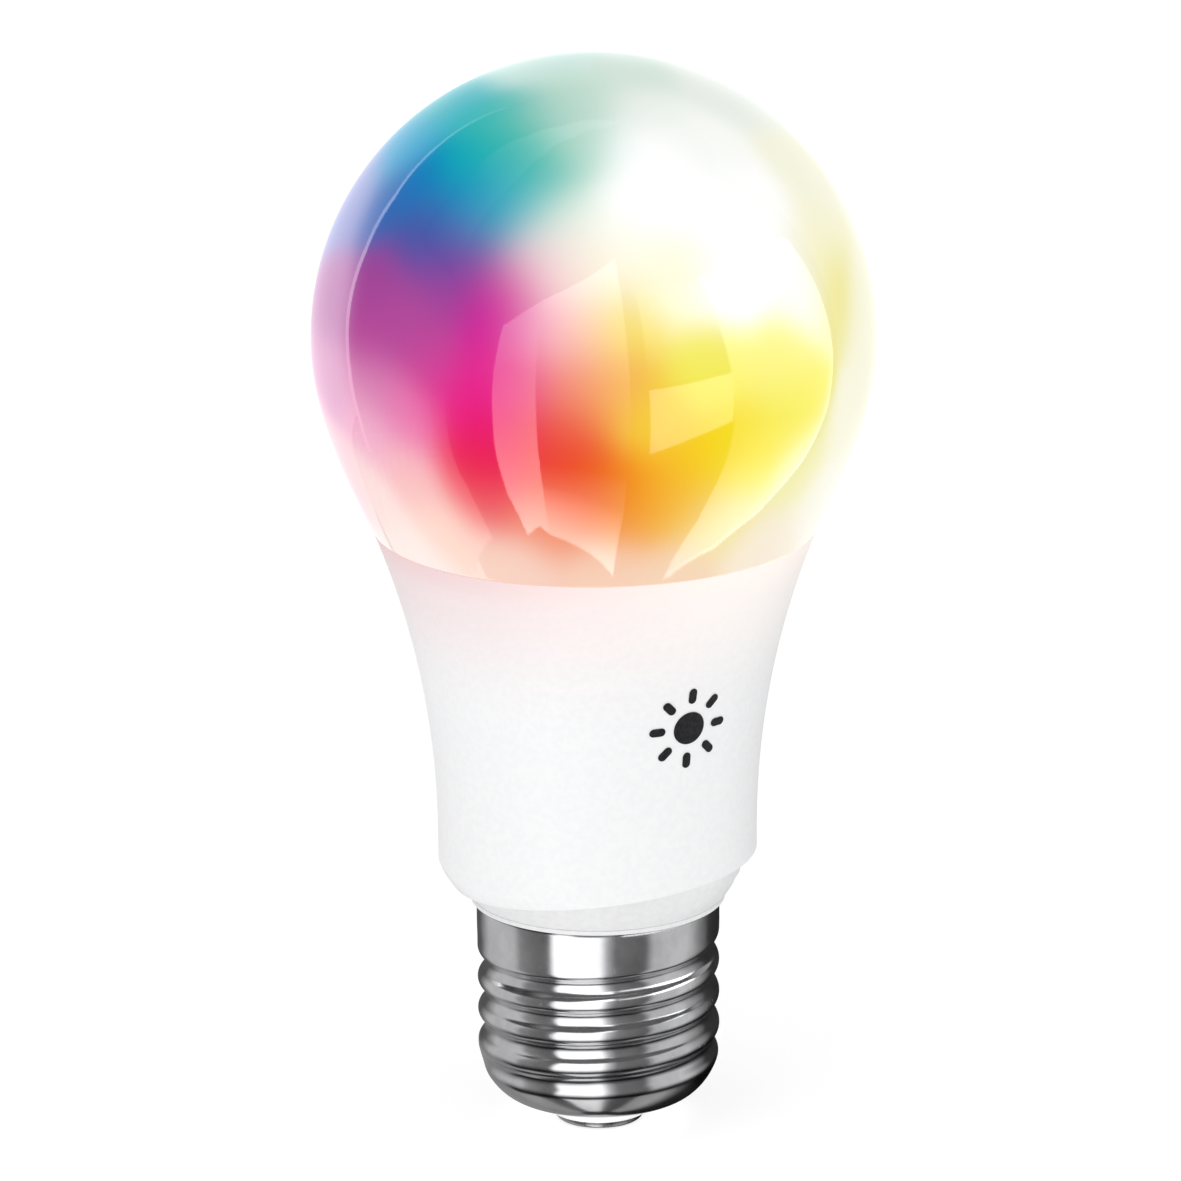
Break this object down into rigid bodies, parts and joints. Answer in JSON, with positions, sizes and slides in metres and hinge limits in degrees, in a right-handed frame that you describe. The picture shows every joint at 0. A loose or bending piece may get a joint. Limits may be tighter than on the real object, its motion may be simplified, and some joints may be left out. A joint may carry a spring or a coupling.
{
  "type": "smart light bulb",
  "caption": "Colour-changing smart light bulb: opal globe, white flared sleeve and a screw cap that twists into a lamp socket; LED board, driver and radio board inside.",
  "frame": {"origin": "centre of the centre contact's face, on the bulb's axis", "axes": "+Z along the axis from the screw cap to the globe, +X to the right and -Y to the front; the printed symbol is on the front, a little to the right"},
  "size_m": [0.06, 0.06, 0.118],
  "materials": {
    "opal_polycarbonate": "gloss",
    "clear_silicone": "satin",
    "white_plastic": "satin",
    "black_ink": "matt",
    "sink_aluminium": "satin",
    "thermal_silicone": "matt",
    "white_solder_mask": "satin",
    "zinc_steel": "satin",
    "led_package": "matt",
    "led_phosphor": "gloss",
    "clear_epoxy": "gloss",
    "black_epoxy": "matt",
    "black_plastic": "satin",
    "gold_plate": "gloss",
    "green_solder_mask": "gloss",
    "tinned_steel": "satin",
    "copper": "satin",
    "housing_plastic": "satin",
    "solder": "satin",
    "capacitor_aluminium": "satin",
    "blue_film": "gloss",
    "green_film": "gloss",
    "ferrite": "matt",
    "yellow_tape": "satin",
    "enamelled_copper": "gloss",
    "yellow_resin": "gloss",
    "blue_resin": "gloss",
    "resistor_coating": "matt",
    "tan_ceramic": "matt",
    "red_insulation": "satin",
    "black_insulation": "satin",
    "nickel_plate": "polished",
    "insulator_plastic": "gloss",
    "contact_metal": "satin"
  },
  "bodies": {
    "root": {"globe_diffuser": "opal_polycarbonate", "globe_sealant": "clear_silicone", "outer_sleeve": "white_plastic", "printed_symbol": "black_ink", "heat_sink": "sink_aluminium", "thermal_pad": "thermal_silicone", "led_board": "white_solder_mask", "board_screws": "zinc_steel", "white_led_bodies": "led_package", "white_led_phosphor": "led_phosphor", "colour_led_bodies": "led_package", "colour_led_lenses": "clear_epoxy", "led_board_resistors": "black_epoxy", "led_socket": "black_plastic", "led_header_pins": "gold_plate", "radio_board": "green_solder_mask", "radio_shield": "tinned_steel", "radio_antenna": "copper", "radio_crystal": "tinned_steel", "radio_header": "black_plastic", "radio_header_pins": "gold_plate", "driver_housing": "housing_plastic", "driver_board": "green_solder_mask", "component_leads": "tinned_steel", "solder_joints": "solder", "bulk_capacitor": "capacitor_aluminium", "bulk_capacitor_sleeve": "blue_film", "output_capacitor": "capacitor_aluminium", "output_capacitor_sleeve": "green_film", "transformer_core": "ferrite", "transformer_bobbin": "black_plastic", "transformer_winding": "yellow_tape", "line_choke_core": "ferrite", "line_choke_winding": "enamelled_copper", "film_capacitor": "yellow_resin", "varistor": "blue_resin", "fusible_resistor": "resistor_coating", "bridge_rectifier": "black_epoxy", "driver_chip": "black_epoxy", "chip_leads": "tinned_steel", "driver_smd_parts": "tan_ceramic", "live_wire": "red_insulation", "neutral_wire": "black_insulation", "screw_shell": "nickel_plate", "cap_insulator": "insulator_plastic", "centre_contact": "contact_metal"}
  },
  "joints": []
}
